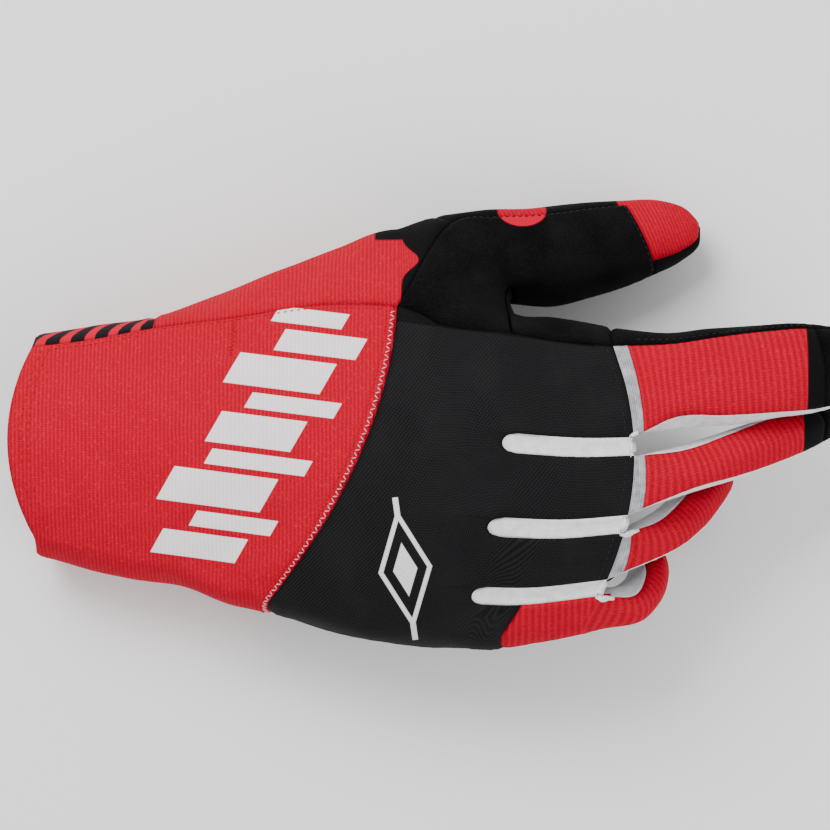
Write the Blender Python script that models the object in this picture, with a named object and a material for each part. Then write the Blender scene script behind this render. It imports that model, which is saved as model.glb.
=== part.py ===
"""Right-hand off-road riding glove, lying palm down on its cuff, thumb and curled fingertips.

The outer skin is one closed-up surface: a hand body, four fingers and a thumb. Each is a grid of
control points, rows along it and columns round it, joined by cubic curves. The skin is then cut
into the sewn panels along rows and columns, and each panel gets its own wall inwards.

+X runs from the cuff to the fingertips, +Y to the thumb side and +Z up from the table.
"""

import math
from collections import namedtuple

import bmesh
import bpy
import numpy as np

MM = 0.001

# Driving sizes, in millimetres
BODY_LENGTH = 180.0       # cuff hem to finger roots, along the back
PALM_WIDTH = 100.0        # across the knuckles
KNUCKLE_HEIGHT = 67.0     # table to the top of the middle knuckle
FINGER_DEPTH = 25.0       # back to palm side, at the finger roots
THUMB_WIDTH = 34.0        # across the thumb at its root
INDEX_LENGTH = 72.0
MIDDLE_LENGTH = 78.0
RING_LENGTH = 68.0
LITTLE_LENGTH = 50.0
THUMB_LENGTH = 83.0
INSERT_LENGTH = 3.5       # stretch insert behind each finger back
KNIT_WALL = 1.2
STRETCH_WALL = 1.6
SUEDE_WALL = 1.4
GUSSET_WALL = 1.0
SEAM_GAP = 0.6            # between two panels, at their seam
THINNEST = 0.4            # share of the wall left where the skin turns a sharp corner

MIDDLE = (-0.3, 1.95, 0.0)  # middle of the finished glove's outline, moved to the origin

STEPS = 2                 # facets to a cell of the control grid
MERGE = 1e-6

# Shares of the palm's width, across the back from the thumb side to the little side
FingerSlot = namedtuple("FingerSlot", "name width gusset_after")
FINGER_SLOTS = (
    FingerSlot("index", 0.330, 0.065),
    FingerSlot("middle", 0.215, 0.065),
    FingerSlot("ring", 0.170, 0.060),
    FingerSlot("little", 0.095, 0.0),
)

# Rows of the hand body. x columns are shares of BODY_LENGTH from the glove's middle, y columns of
# PALM_WIDTH from it and z columns of KNUCKLE_HEIGHT. The edges are where the back turns into the
# sides, and the palm edges where the palm does. The crown and the belly stand out between them.
BodyRow = namedtuple(
    "BodyRow",
    "x_thumb x_mid x_little y_thumb y_little side_thumb side_little "
    "z_thumb z_little crown z_side_thumb z_side_little palm_thumb palm_little belly",
)
BODY_ROWS = {
    "hem": BodyRow(-0.656, -0.693, -0.655, 0.247, -0.310, 0.275, -0.368,
                   0.490, 0.480, 0.10, 0.27, 0.25, 0.000, 0.000, 0.02),
    "cuff": BodyRow(-0.562, -0.591, -0.562, 0.267, -0.355, 0.305, -0.415,
                    0.500, 0.490, 0.12, 0.27, 0.25, 0.000, 0.000, 0.02),
    "wrist": BodyRow(-0.459, -0.478, -0.494, 0.300, -0.380, 0.330, -0.440,
                     0.540, 0.520, 0.13, 0.28, 0.27, 0.000, 0.000, 0.02),
    "heel": BodyRow(-0.326, -0.363, -0.417, 0.330, -0.405, 0.420, -0.460,
                    0.590, 0.550, 0.15, 0.31, 0.30, 0.025, 0.040, 0.01),
    "thenar": BodyRow(-0.192, -0.243, -0.340, 0.365, -0.460, 0.513, -0.513,
                      0.650, 0.590, 0.17, 0.35, 0.33, 0.060, 0.080, -0.01),
    "seam": BodyRow(-0.063, -0.121, -0.266, 0.360, -0.490, 0.590, -0.540,
                    0.720, 0.630, 0.19, 0.39, 0.36, 0.110, 0.140, -0.05),
    "thumb": BodyRow(0.018, -0.008, -0.105, 0.302, -0.565, 0.500, -0.618,
                     0.790, 0.670, 0.21, 0.45, 0.42, 0.210, 0.220, -0.09),
    "slot": BodyRow(0.122, 0.094, 0.041, 0.281, -0.585, 0.335, -0.638,
                    0.835, 0.710, 0.21, 0.62, 0.51, 0.390, 0.330, -0.10),
    "knuckle": BodyRow(0.192, 0.208, 0.109, 0.258, -0.585, 0.322, -0.638,
                       0.860, 0.730, 0.21, 0.69, 0.57, 0.510, 0.420, -0.10),
    "root": BodyRow(0.282, 0.311, 0.240, 0.244, -0.555, 0.290, -0.592,
                    0.865, 0.750, 0.19, 0.73, 0.61, 0.580, 0.490, -0.08),
}
PALM_EDGE_INSET = 0.30    # share of the way from the back's edge out to the side, at the palm
CUFF_EDGE_INSET = -0.9    # the same where the cuff lies flat

# The five digits. Bends are degrees below the level and turns are degrees towards the thumb side,
# one for each of three bones. Bone lengths are shares of the digit, and roll tips its back sideways.
Digit = namedtuple("Digit", "length bones bends turns roll depth slants")
STRAIGHT = (0, 0, 0)
DIGITS = {
    "index": Digit(INDEX_LENGTH, (0.36, 0.33, 0.31), (2, 11, 20), (5, 6, 4), 6, 0.94, STRAIGHT),
    "middle": Digit(MIDDLE_LENGTH, (0.36, 0.33, 0.31), (17, 31, 41), (15, 19, 23), 0, 1.0, STRAIGHT),
    "ring": Digit(RING_LENGTH, (0.40, 0.32, 0.28), (35, 52, 76), (25, 46, 52), -6, 0.92, STRAIGHT),
    "little": Digit(LITTLE_LENGTH, (0.40, 0.31, 0.29), (40, 60, 84), (12, 66, 100), -14, 0.84, STRAIGHT),
    "thumb": Digit(THUMB_LENGTH, (0.40, 0.32, 0.28), (15, 12, 7), (2, 12, 12), 8, 1.1, (40, 20, 8)),
}

# Rows along a finger: share of its length, width and depth as shares of those at its root, and
# the angle above and below the side line that the gusset takes, in degrees.
DigitRow = namedtuple("DigitRow", "along width depth gusset")
FINGER_ROWS = (
    DigitRow(0.20, 0.90, 0.97, 44),
    DigitRow(0.38, 0.91, 0.92, 40),
    DigitRow(0.58, 0.88, 0.86, 34),
    DigitRow(0.79, 0.81, 0.79, 28),
    DigitRow(0.91, 0.66, 0.63, 24),
    DigitRow(0.972, 0.40, 0.38, 22),
)
THUMB_ROWS = (
    DigitRow(0.15, 1.00, 1.06, 45),
    DigitRow(0.30, 1.05, 1.03, 45),
    DigitRow(0.46, 0.94, 0.97, 45),
    DigitRow(0.61, 0.85, 0.90, 45),
    DigitRow(0.76, 0.70, 0.78, 42),
    DigitRow(0.89, 0.55, 0.60, 40),
    DigitRow(0.965, 0.34, 0.36, 40),
)
FINGERTIP_ROW = 4         # from this row on, the index and middle backs are wrapped in suede
THUMB_TIP_ROW = 5         # from this row on, the knit thumb back is open
THUMB_BASE_SHIFT = (-0.035, 0.122, -0.08)  # hole's middle to the thumb's start, as body shares


# Cubic curves through rows of control points

def slopes(points, knots):
    """Slope at each inner control point: its two chords' slopes, the shorter chord counting more."""
    chord = np.diff(knots)
    rise = np.diff(points, axis=0) / chord.reshape(-1, *([1] * (points.ndim - 1)))
    before = chord[:-1].reshape(-1, *([1] * (points.ndim - 1)))
    after = chord[1:].reshape(-1, *([1] * (points.ndim - 1)))
    return (rise[:-1] * after + rise[1:] * before) / (before + after)


def through(points, knots, at):
    """Points at the knot values `at` on cubic curves through points[1:-1]; the ends only guide."""
    slope = slopes(points, knots)
    inner, inner_knots = points[1:-1], knots[1:-1]
    cell = np.clip(np.searchsorted(inner_knots, at, side="right") - 1, 0, len(inner_knots) - 2)
    width = inner_knots[cell + 1] - inner_knots[cell]
    t = (at - inner_knots[cell]) / width
    shape = (-1, *([1] * (points.ndim - 1)))
    t, width = t.reshape(shape), width.reshape(shape)
    return (
        (1 + 2 * t) * (1 - t) ** 2 * inner[cell]
        + t * (1 - t) ** 2 * width * slope[cell]
        + t * t * (3 - 2 * t) * inner[cell + 1]
        - t * t * (1 - t) * width * slope[cell + 1]
    )


def chord_knots(points):
    """Knots whose spacing is the mean distance between neighbouring rows of points."""
    steps = np.linalg.norm(np.diff(points, axis=0), axis=-1)
    steps = steps.reshape(len(steps), -1).mean(axis=1)
    return np.concatenate([[0.0], np.cumsum(np.maximum(steps, 1e-3))])


def fine_knots(knots):
    """The knots of points[1:-1] with STEPS - 1 more between each two."""
    inner = knots[1:-1]
    share = np.arange(STEPS) / STEPS
    cells = inner[:-1, None] + np.diff(inner)[:, None] * share
    return np.append(cells.ravel(), inner[-1])


def smooth_rows(rows, before=None, after=None):
    """Finer rows through the control rows. The rows before and after only set the end slopes."""
    rows = np.asarray(rows, float)
    first = 2 * rows[0] - rows[1] if before is None else before
    last = 2 * rows[-1] - rows[-2] if after is None else after
    points = np.concatenate([first[None], rows, last[None]])
    knots = chord_knots(points)
    return through(points, knots, fine_knots(knots))


def smooth_loop(rows):
    """Finer columns round closed loops: rows x columns x 3 in, the seam column repeated out."""
    columns = np.moveaxis(np.asarray(rows, float), 1, 0)
    points = np.concatenate([columns[-1:], columns, columns[:2]])
    knots = chord_knots(points)
    return np.moveaxis(through(points, knots, fine_knots(knots)), 0, 1)


# The hand body

def column_shares():
    """Share across the back of each column line, 1 at the thumb side and 0 at the little side."""
    shares = [1.0]
    for slot in FINGER_SLOTS:
        shares += [shares[-1] - slot.width / 2, shares[-1] - slot.width]
        if slot.gusset_after:
            shares.append(shares[-1] - slot.gusset_after)
    return np.array(shares)


SHARES = column_shares()
BACK_COLUMNS = len(SHARES)
ROW_NAMES = list(BODY_ROWS)


def body_loop(row, lies_flat):
    """One row's closed loop: back, little side, palm, thumb side."""
    across = SHARES
    x = (
        row.x_little * 2 * (0.5 - across) * (1 - across)
        + row.x_mid * 4 * across * (1 - across)
        + row.x_thumb * 2 * across * (across - 0.5)
    )
    bow = 1 - (2 * across - 1) ** 2
    back = np.stack([
        x * BODY_LENGTH,
        (row.y_little + (row.y_thumb - row.y_little) * across) * PALM_WIDTH,
        (row.z_little + (row.z_thumb - row.z_little) * across + row.crown * bow) * KNUCKLE_HEIGHT,
    ], axis=1)
    inset = CUFF_EDGE_INSET if lies_flat else PALM_EDGE_INSET
    palm_edge_thumb = row.y_thumb + (row.side_thumb - row.y_thumb) * inset
    palm_edge_little = row.y_little + (row.side_little - row.y_little) * inset
    palm = np.stack([
        x * BODY_LENGTH,
        (palm_edge_little + (palm_edge_thumb - palm_edge_little) * across) * PALM_WIDTH,
        (row.palm_little + (row.palm_thumb - row.palm_little) * across - row.belly * bow)
        * KNUCKLE_HEIGHT,
    ], axis=1)
    little = [row.x_little * BODY_LENGTH, row.side_little * PALM_WIDTH,
              row.z_side_little * KNUCKLE_HEIGHT]
    thumb = [row.x_thumb * BODY_LENGTH, row.side_thumb * PALM_WIDTH,
             row.z_side_thumb * KNUCKLE_HEIGHT]
    return np.concatenate([back, [little], palm[::-1], [thumb]])


LITTLE_SIDE = BACK_COLUMNS
PALM_FIRST = BACK_COLUMNS + 1
THUMB_SIDE = 2 * BACK_COLUMNS + 1
FLAT_ROWS = ("hem", "cuff", "wrist")
body_control = np.array([body_loop(row, name in FLAT_ROWS) for name, row in BODY_ROWS.items()])


def back_column(finger, line):
    """Column of a finger's line on the back: 0 at its thumb side, 1 in the middle, 2 beyond."""
    return 3 * finger + line


def palm_column(finger, line):
    return PALM_FIRST + BACK_COLUMNS - 1 - back_column(finger, line)


# The digits

def finger_root(finger):
    """The eight corners of a finger's root: back, little side, palm and thumb side."""
    root = body_control[-1]
    back = [root[back_column(finger, line)] for line in range(3)]
    palm = [root[palm_column(finger, line)] for line in range(3)]
    last = len(FINGER_SLOTS) - 1
    near_thumb = root[THUMB_SIDE] if finger == 0 else (back[0] + palm[0]) / 2
    near_little = root[LITTLE_SIDE] if finger == last else (back[2] + palm[2]) / 2
    return np.array([near_thumb, *back, near_little, *palm[::-1]])


def thumb_root():
    """The eight corners of the hole in the body's side that the thumb starts from."""
    seam, thumb, slot = (body_control[ROW_NAMES.index(n)] for n in ("seam", "thumb", "slot"))
    top, low = 0, PALM_FIRST + BACK_COLUMNS - 1
    return np.array([seam[THUMB_SIDE], seam[top], thumb[top], slot[top],
                     slot[THUMB_SIDE], slot[low], thumb[low], seam[low]])


def along_bones(digit, distance):
    """Point and direction, from the digit's start, that far along its three bones.

    The bend and the turn pass evenly from one bone to the next, so the line has no corner.
    """
    middles = np.cumsum(digit.bones) - np.array(digit.bones) / 2
    steps = 60
    share = (np.arange(steps) + 0.5) / steps * distance / digit.length
    bend = np.radians(np.interp(share, middles, digit.bends))
    turn = np.radians(np.interp(share, middles, digit.turns))
    heading = np.stack([np.cos(bend) * np.cos(turn), np.cos(bend) * np.sin(turn), -np.sin(bend)], 1)
    return heading.sum(axis=0) * distance / steps, heading[-1]


def digit_loop(digit, start, row, half_width, half_depth):
    """Eight points round the digit at one row, starting at its thumb side."""
    offset, ahead = along_bones(digit, row.along * digit.length)
    level = np.cross([0, 0, 1], ahead)
    level /= np.linalg.norm(level)
    up = np.cross(ahead, level)
    roll = math.radians(digit.roll)
    side = level * math.cos(roll) - up * math.sin(roll)
    up = np.cross(ahead, side)
    middles = np.cumsum(digit.bones) - np.array(digit.bones) / 2
    slant = math.radians(np.interp(row.along, middles, digit.slants))
    side = side * math.cos(slant) - ahead * math.sin(slant)
    a, b = half_width * row.width, half_depth * row.depth
    corner = math.radians(row.gusset)
    angles = np.array([0, corner, math.pi / 2, math.pi - corner,
                       math.pi, math.pi + corner, 1.5 * math.pi, -corner])
    fullness = 1 + 0.07 * np.sin(2 * angles) ** 2
    return (start + offset
            + np.outer(a * fullness * np.cos(angles), side)
            + np.outer(b * fullness * np.sin(angles), up))


def digit_rows(name, root, rows, start, half_width):
    """Control rows of a digit from its root to its tip."""
    digit = DIGITS[name]
    half_depth = digit.depth * FINGER_DEPTH / 2
    loops = [digit_loop(digit, start, row, half_width, half_depth) for row in rows]
    tip, _ = along_bones(digit, digit.length)
    loops.append(np.repeat([start + tip], len(root), axis=0))
    return loops


def finger_control(finger):
    """A finger's control rows, from its root to its tip."""
    root = finger_root(finger)
    half_width = np.linalg.norm(root[0] - root[4]) / 2
    start = root.mean(axis=0)
    name = FINGER_SLOTS[finger].name
    return np.array([root, *digit_rows(name, root, FINGER_ROWS, start, half_width)])


def thumb_control():
    root = thumb_root()
    size = np.array([BODY_LENGTH, PALM_WIDTH, KNUCKLE_HEIGHT])
    start = root.mean(axis=0) + np.array(THUMB_BASE_SHIFT) * size
    return np.array([root, *digit_rows("thumb", root, THUMB_ROWS, start, THUMB_WIDTH / 2)])


# The skin: fine grids of points, and which panel each cell belongs to

def body_grid():
    """Fine body grid, whose slopes at the root run on into the fingers."""
    loops = smooth_loop(body_control)
    return smooth_rows(loops)


def body_edge(grid, row, first, last):
    """Points of a body row between two of its control columns, backwards if last is smaller."""
    step = 1 if last > first else -1
    stop = last * STEPS + step
    return grid[row * STEPS, first * STEPS:(stop if stop >= 0 else None):step]


def rooted_loops(control, edges):
    """Fine loops of a digit whose root lies on the body's own edges, each (first column, points)."""
    loops = smooth_loop(control)
    for first, edge in edges:
        loops[0, first * STEPS:first * STEPS + len(edge)] = edge
    return loops


def finger_grid(body, finger):
    """Fine grid of a finger. Its first row of cells is the stretch insert, which keeps one length."""
    last_row = len(ROW_NAMES) - 1
    edges = [
        (1, body_edge(body, last_row, back_column(finger, 0), back_column(finger, 2))),
        (5, body_edge(body, last_row, palm_column(finger, 2), palm_column(finger, 0))),
    ]
    if finger == 0:
        edges.append((0, body_edge(body, last_row, THUMB_SIDE, THUMB_SIDE + 1)))
        edges.append((7, body_edge(body, last_row, THUMB_SIDE - 1, THUMB_SIDE)))
    if finger == len(FINGER_SLOTS) - 1:
        edges.append((3, body_edge(body, last_row, LITTLE_SIDE - 1, LITTLE_SIDE + 1)))
    control = finger_control(finger)
    loops = rooted_loops(control, edges)
    insert = INSERT_LENGTH / (FINGER_ROWS[0].along * DIGITS[FINGER_SLOTS[finger].name].length)
    loops = np.insert(loops, 1, loops[0] + (loops[1] - loops[0]) * insert, axis=0)
    behind = control[0] - (control[1] - control[0]) * insert * 2
    for line in range(3):
        behind[1 + line] = body_control[-2][back_column(finger, line)]
        behind[5 + line] = body_control[-2][palm_column(finger, 2 - line)]
    return smooth_rows(loops, before=smooth_loop(behind[None])[0])


def thumb_grid(body):
    seam, slot = ROW_NAMES.index("seam"), ROW_NAMES.index("slot")
    low = PALM_FIRST + BACK_COLUMNS - 1
    rows = slice(seam * STEPS, slot * STEPS + 1)
    loops = rooted_loops(thumb_control(), [
        (0, body_edge(body, seam, THUMB_SIDE, THUMB_SIDE + 1)),
        (1, body[rows, 0]),
        (3, body_edge(body, slot, THUMB_SIDE + 1, low)),
        (5, body[rows, low * STEPS][::-1]),
        (7, body_edge(body, seam, low, THUMB_SIDE)),
    ])
    return smooth_rows(loops, before=loops[0] - (loops[1] - loops[0]) / 2)


def body_panel(row, column):
    """Name of the panel that a cell of the body's control grid belongs to, or None at the hole."""
    at = ROW_NAMES.index
    back = column < BACK_COLUMNS - 1
    little_side = column in (LITTLE_SIDE - 1, LITTLE_SIDE)
    thumb_side = column in (THUMB_SIDE - 1, THUMB_SIDE)
    if row < at("wrist") and (thumb_side or not (back or little_side)):
        return "cuff_palm"
    if row < at("seam") and (back or little_side):
        return "cuff_back"
    if thumb_side:
        if row < at("seam"):
            return "thumb_side"
        return None if row < at("slot") else "crotch_guard"
    if back and row >= at("slot") and column % 3 == 2:
        return "gusset_" + FINGER_SLOTS[column // 3].name
    outer_little = column in (BACK_COLUMNS - 3, BACK_COLUMNS - 2, LITTLE_SIDE - 1)
    if outer_little and row >= at("knuckle"):
        return "finger_back_little"
    if back or column == LITTLE_SIDE - 1:
        return "back_panel"
    if column == LITTLE_SIDE and row >= at("knuckle"):
        return "little_side_gusset"
    return "palm"


def finger_panel(finger, row, column):
    """Panel of a cell of a finger's control grid. Columns run from the thumb side over the back."""
    name = FINGER_SLOTS[finger].name
    if column in (1, 2):
        if name != "little" and row == 0:
            return "insert_" + name
        if name in ("index", "middle") and row > FINGERTIP_ROW:
            return "fingertip_" + name
        return "finger_back_" + name
    if column in (5, 6):
        return "palm"
    if column in (0, 7):
        return "index_side" if finger == 0 else "gusset_" + FINGER_SLOTS[finger - 1].name
    if name == "little":
        return "finger_back_little" if column == 3 else "little_side_gusset"
    return "gusset_" + name


def thumb_panel(row, column):
    if row == 0 and column in (3, 4, 5):
        return "crotch_guard"
    if column in (7, 0):
        return "thumb_side" if row == 0 else "thumb_back"
    if column in (1, 2):
        return "thumb_back" if row >= THUMB_TIP_ROW else "thumb_wrap"
    if column == 3 and row < THUMB_TIP_ROW:
        return "thumb_wrap"
    return "thumb_palm"


def add_grid(skin, panels, grid, panel_of):
    """Adds a grid's cells to the skin as faces, each marked with its panel's number."""
    points = [[skin.verts.new((p - MIDDLE) * MM) for p in row] for row in grid]
    for row in range(len(points) - 1):
        for column in range(len(points[0]) - 1):
            panel = panel_of(row // STEPS, column // STEPS)
            if panel is None:
                continue
            face = skin.faces.new((points[row][column], points[row][column + 1],
                                   points[row + 1][column + 1], points[row + 1][column]))
            face.material_index = panels.setdefault(panel, len(panels))


def web_grid(thumbward, littleward):
    """The web between two fingers: from one's little side across to the next one's thumb side."""
    columns = len(thumbward)
    across = np.arange(STEPS + 1)[:, None, None] / STEPS
    return thumbward[None] * (1 - across) + littleward[None] * across, columns


def glove_skin():
    """The whole outer surface as a bmesh, and the panels' numbers by name."""
    skin, panels = bmesh.new(), {}
    body = body_grid()
    fingers = [finger_grid(body, finger) for finger in range(len(FINGER_SLOTS))]
    last_row = len(ROW_NAMES) - 1
    for finger in range(len(fingers) - 1):
        near = fingers[finger][0, 3 * STEPS:5 * STEPS + 1]
        far_lower = fingers[finger + 1][0, 7 * STEPS:8 * STEPS + 1]
        far = np.concatenate([fingers[finger + 1][0, :STEPS + 1][::-1], far_lower[:-1][::-1]])
        web, _ = web_grid(near, far)
        top = body_edge(body, last_row, back_column(finger, 2), back_column(finger + 1, 0))
        low = body_edge(body, last_row, palm_column(finger, 2), palm_column(finger + 1, 0))
        web[:, 0] = top
        web[:, -1] = low
        names = ("gusset_" + FINGER_SLOTS[finger].name,) * 2
        add_grid(skin, panels, web[::-1], lambda row, column, names=names: names[column])
    for grid in (body, *fingers):
        grid[..., 2] = np.maximum(grid[..., 2], 0)
    thumb = thumb_grid(body)
    thumb[..., 2] = np.maximum(thumb[..., 2], 0)
    add_grid(skin, panels, body, body_panel)
    for finger, grid in enumerate(fingers):
        add_grid(skin, panels, grid, lambda row, column, f=finger: finger_panel(f, row, column))
    add_grid(skin, panels, thumb, thumb_panel)
    bmesh.ops.remove_doubles(skin, verts=skin.verts, dist=MERGE)
    bmesh.ops.dissolve_degenerate(skin, edges=skin.edges, dist=MERGE)
    bmesh.ops.recalc_face_normals(skin, faces=skin.faces)
    skin.normal_update()
    return skin, panels


# Panels as solids

Finish = namedtuple("Finish", "colour roughness")
RED_KNIT = Finish((0.80, 0.012, 0.035), 0.85)
BLACK_STRETCH = Finish((0.018, 0.018, 0.02), 0.8)
BLACK_SUEDE = Finish((0.012, 0.012, 0.013), 0.95)
WHITE_GUSSET = Finish((0.85, 0.85, 0.86), 0.6)
STRIPED_GRIP = Finish((0.05, 0.02, 0.02), 0.7)

PanelKind = namedtuple("PanelKind", "finish wall")
PANEL_KINDS = {
    "cuff_back": PanelKind(RED_KNIT, KNIT_WALL),
    "cuff_palm": PanelKind(STRIPED_GRIP, KNIT_WALL),
    "thumb_side": PanelKind(RED_KNIT, KNIT_WALL),
    "thumb_back": PanelKind(RED_KNIT, KNIT_WALL),
    "finger_back": PanelKind(RED_KNIT, KNIT_WALL),
    "back_panel": PanelKind(BLACK_STRETCH, STRETCH_WALL),
    "insert": PanelKind(WHITE_GUSSET, GUSSET_WALL),
    "gusset": PanelKind(WHITE_GUSSET, GUSSET_WALL),
    "little_side_gusset": PanelKind(WHITE_GUSSET, GUSSET_WALL),
}
SUEDE_PANEL = PanelKind(BLACK_SUEDE, SUEDE_WALL)


def kind_of(name):
    """A panel's finish and wall, by its whole name or by the part before the finger's name."""
    return PANEL_KINDS.get(name) or PANEL_KINDS.get(name.rpartition("_")[0]) or SUEDE_PANEL


def panel_mesh(skin, number, wall):
    """A closed solid: the panel's faces, the same faces moved inwards, and the edge between."""
    faces = [face for face in skin.faces if face.material_index == number]
    corners = {vert: None for face in faces for vert in face.verts}
    solid = bmesh.new()
    for vert in corners:
        own = [face for face in vert.link_faces if face.material_index == number]
        bend = 1 - min(face.normal.dot(vert.normal) for face in vert.link_faces)
        depth = wall * max(THINNEST, 1 - bend)
        place = vert.co.copy()
        if len(own) < len(vert.link_faces) or vert.is_boundary:
            aside = sum((face.calc_center_median() - vert.co for face in own), vert.co * 0)
            aside -= vert.normal * aside.dot(vert.normal)
            place += aside.normalized() * (SEAM_GAP / 2 * MM)
        place.z = max(place.z, 0)
        corners[vert] = (solid.verts.new(place), solid.verts.new(place - vert.normal * depth * MM))
    for face in faces:
        solid.faces.new([corners[v][0] for v in face.verts])
        solid.faces.new([corners[v][1] for v in reversed(face.verts)])
        for loop in face.loops:
            neighbours = [f for f in loop.edge.link_faces if f.material_index == number]
            if len(neighbours) == 1:
                a, b = corners[loop.vert], corners[loop.link_loop_next.vert]
                solid.faces.new((a[1], b[1], b[0], a[0]))
    bmesh.ops.recalc_face_normals(solid, faces=solid.faces)
    mesh = bpy.data.meshes.new("panel")
    solid.to_mesh(mesh)
    solid.free()
    return mesh


def material(finish):
    name = "finish_%02x%02x%02x" % tuple(round(255 * c) for c in finish.colour)
    made = bpy.data.materials.get(name) or bpy.data.materials.new(name)
    made.use_nodes = True
    shader = made.node_tree.nodes["Principled BSDF"]
    shader.inputs["Base Color"].default_value = (*finish.colour, 1)
    shader.inputs["Roughness"].default_value = finish.roughness
    return made


def main():
    for obj in list(bpy.data.objects):
        bpy.data.objects.remove(obj)
    collection = bpy.data.collections.new("riding_glove")
    bpy.context.scene.collection.children.link(collection)
    skin, panels = glove_skin()
    for name, number in panels.items():
        kind = kind_of(name)
        mesh = panel_mesh(skin, number, kind.wall)
        mesh.name = name
        mesh.materials.append(material(kind.finish))
        mesh.shade_smooth()
        mesh.set_sharp_from_angle(angle=math.radians(50))
        collection.objects.link(bpy.data.objects.new(name, mesh))
    skin.free()


main()
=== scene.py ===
"""Looks of a right-hand off-road riding glove: knit, stretch cloth, suede, gussets and stitching.

The skin is worked out again as fine grids from the same control rows as the solids, shaped with
seams and folds, and cut into the same sewn panels. +X runs from the cuff to the fingertips.
"""
import logging
import math
from dataclasses import dataclass, field, replace
from enum import Enum, IntEnum
from typing import NamedTuple

import bpy
import numpy as np
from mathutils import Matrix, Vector

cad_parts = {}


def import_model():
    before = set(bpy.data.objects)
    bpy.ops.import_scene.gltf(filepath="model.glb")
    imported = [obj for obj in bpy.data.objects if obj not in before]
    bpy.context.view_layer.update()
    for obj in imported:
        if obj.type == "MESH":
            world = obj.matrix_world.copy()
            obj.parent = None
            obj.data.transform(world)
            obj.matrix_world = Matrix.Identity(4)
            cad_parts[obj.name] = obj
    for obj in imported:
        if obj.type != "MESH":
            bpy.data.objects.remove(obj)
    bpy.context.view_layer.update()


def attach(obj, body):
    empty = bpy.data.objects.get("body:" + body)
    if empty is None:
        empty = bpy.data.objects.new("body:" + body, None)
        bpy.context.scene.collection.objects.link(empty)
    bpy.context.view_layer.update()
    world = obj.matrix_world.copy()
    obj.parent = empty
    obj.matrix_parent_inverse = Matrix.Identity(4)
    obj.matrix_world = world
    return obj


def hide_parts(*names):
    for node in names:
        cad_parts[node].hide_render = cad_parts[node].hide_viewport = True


log = logging.getLogger("glove")
MM = 0.001
STEPS = 12  # Fine cells in each control cell.
BONE_STEPS = 60  # Short straight pieces that a bent digit is summed from.
CORNER_FULLNESS = 0.07  # Share by which a digit's section is fuller than an ellipse.
FLAT_INSET, ROUND_INSET = -0.9, 0.30  # Palm's edge, from the back's edge to the side.
CLOTH_UNIT = 100  # Cloth coordinates are kept in units of this many mm.
Array = np.ndarray


class FingerSlot(NamedTuple):
    """A finger's share of the palm's width, and the gusset's beyond it."""

    name: str
    width: float
    gusset_after: float


class BodyRow(NamedTuple):
    """A row of the hand: x as shares of its length, y of its width and z of its height."""

    x_thumb: float
    x_mid: float
    x_little: float
    y_thumb: float
    y_little: float
    side_thumb: float
    side_little: float
    z_thumb: float
    z_little: float
    crown: float
    z_side_thumb: float
    z_side_little: float
    palm_thumb: float
    palm_little: float
    belly: float


class Digit(NamedTuple):
    """Length in mm, bones as shares of it, and each bone's angles in degrees."""

    length: float
    bones: tuple[float, ...]
    bends: tuple[float, ...]
    turns: tuple[float, ...]
    roll: float
    depth: float
    slants: tuple[float, ...]


class DigitRow(NamedTuple):
    """Share along a digit, its width and depth as shares of the root's, and the seam's angle."""

    along: float
    width: float
    depth: float
    gusset: float


FINGER_SLOTS = (
    FingerSlot("index", 0.330, 0.065),
    FingerSlot("middle", 0.215, 0.065),
    FingerSlot("ring", 0.170, 0.060),
    FingerSlot("little", 0.095, 0.0),
)
BODY_ROWS = {
    "hem": BodyRow(-0.656, -0.693, -0.655, 0.247, -0.310, 0.275, -0.368,
                   0.490, 0.480, 0.10, 0.27, 0.25, 0.000, 0.000, 0.02),
    "cuff": BodyRow(-0.562, -0.591, -0.562, 0.267, -0.355, 0.305, -0.415,
                    0.500, 0.490, 0.12, 0.27, 0.25, 0.000, 0.000, 0.02),
    "wrist": BodyRow(-0.459, -0.478, -0.494, 0.300, -0.380, 0.330, -0.440,
                     0.540, 0.520, 0.13, 0.28, 0.27, 0.000, 0.000, 0.02),
    "heel": BodyRow(-0.326, -0.363, -0.417, 0.330, -0.405, 0.420, -0.460,
                    0.590, 0.550, 0.15, 0.31, 0.30, 0.025, 0.040, 0.01),
    "thenar": BodyRow(-0.192, -0.243, -0.340, 0.365, -0.460, 0.513, -0.513,
                      0.650, 0.590, 0.17, 0.35, 0.33, 0.060, 0.080, -0.01),
    "seam": BodyRow(-0.063, -0.121, -0.266, 0.360, -0.490, 0.590, -0.540,
                    0.720, 0.630, 0.19, 0.39, 0.36, 0.110, 0.140, -0.05),
    "thumb": BodyRow(0.018, -0.008, -0.105, 0.302, -0.565, 0.500, -0.618,
                     0.790, 0.670, 0.21, 0.45, 0.42, 0.210, 0.220, -0.09),
    "slot": BodyRow(0.122, 0.094, 0.041, 0.281, -0.585, 0.335, -0.638,
                    0.835, 0.710, 0.21, 0.62, 0.51, 0.390, 0.330, -0.10),
    "knuckle": BodyRow(0.192, 0.208, 0.109, 0.258, -0.585, 0.322, -0.638,
                       0.860, 0.730, 0.21, 0.69, 0.57, 0.510, 0.420, -0.10),
    "root": BodyRow(0.282, 0.311, 0.240, 0.244, -0.555, 0.290, -0.592,
                    0.865, 0.750, 0.19, 0.73, 0.61, 0.580, 0.490, -0.08),
}
STRAIGHT = (0, 0, 0)
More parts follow.
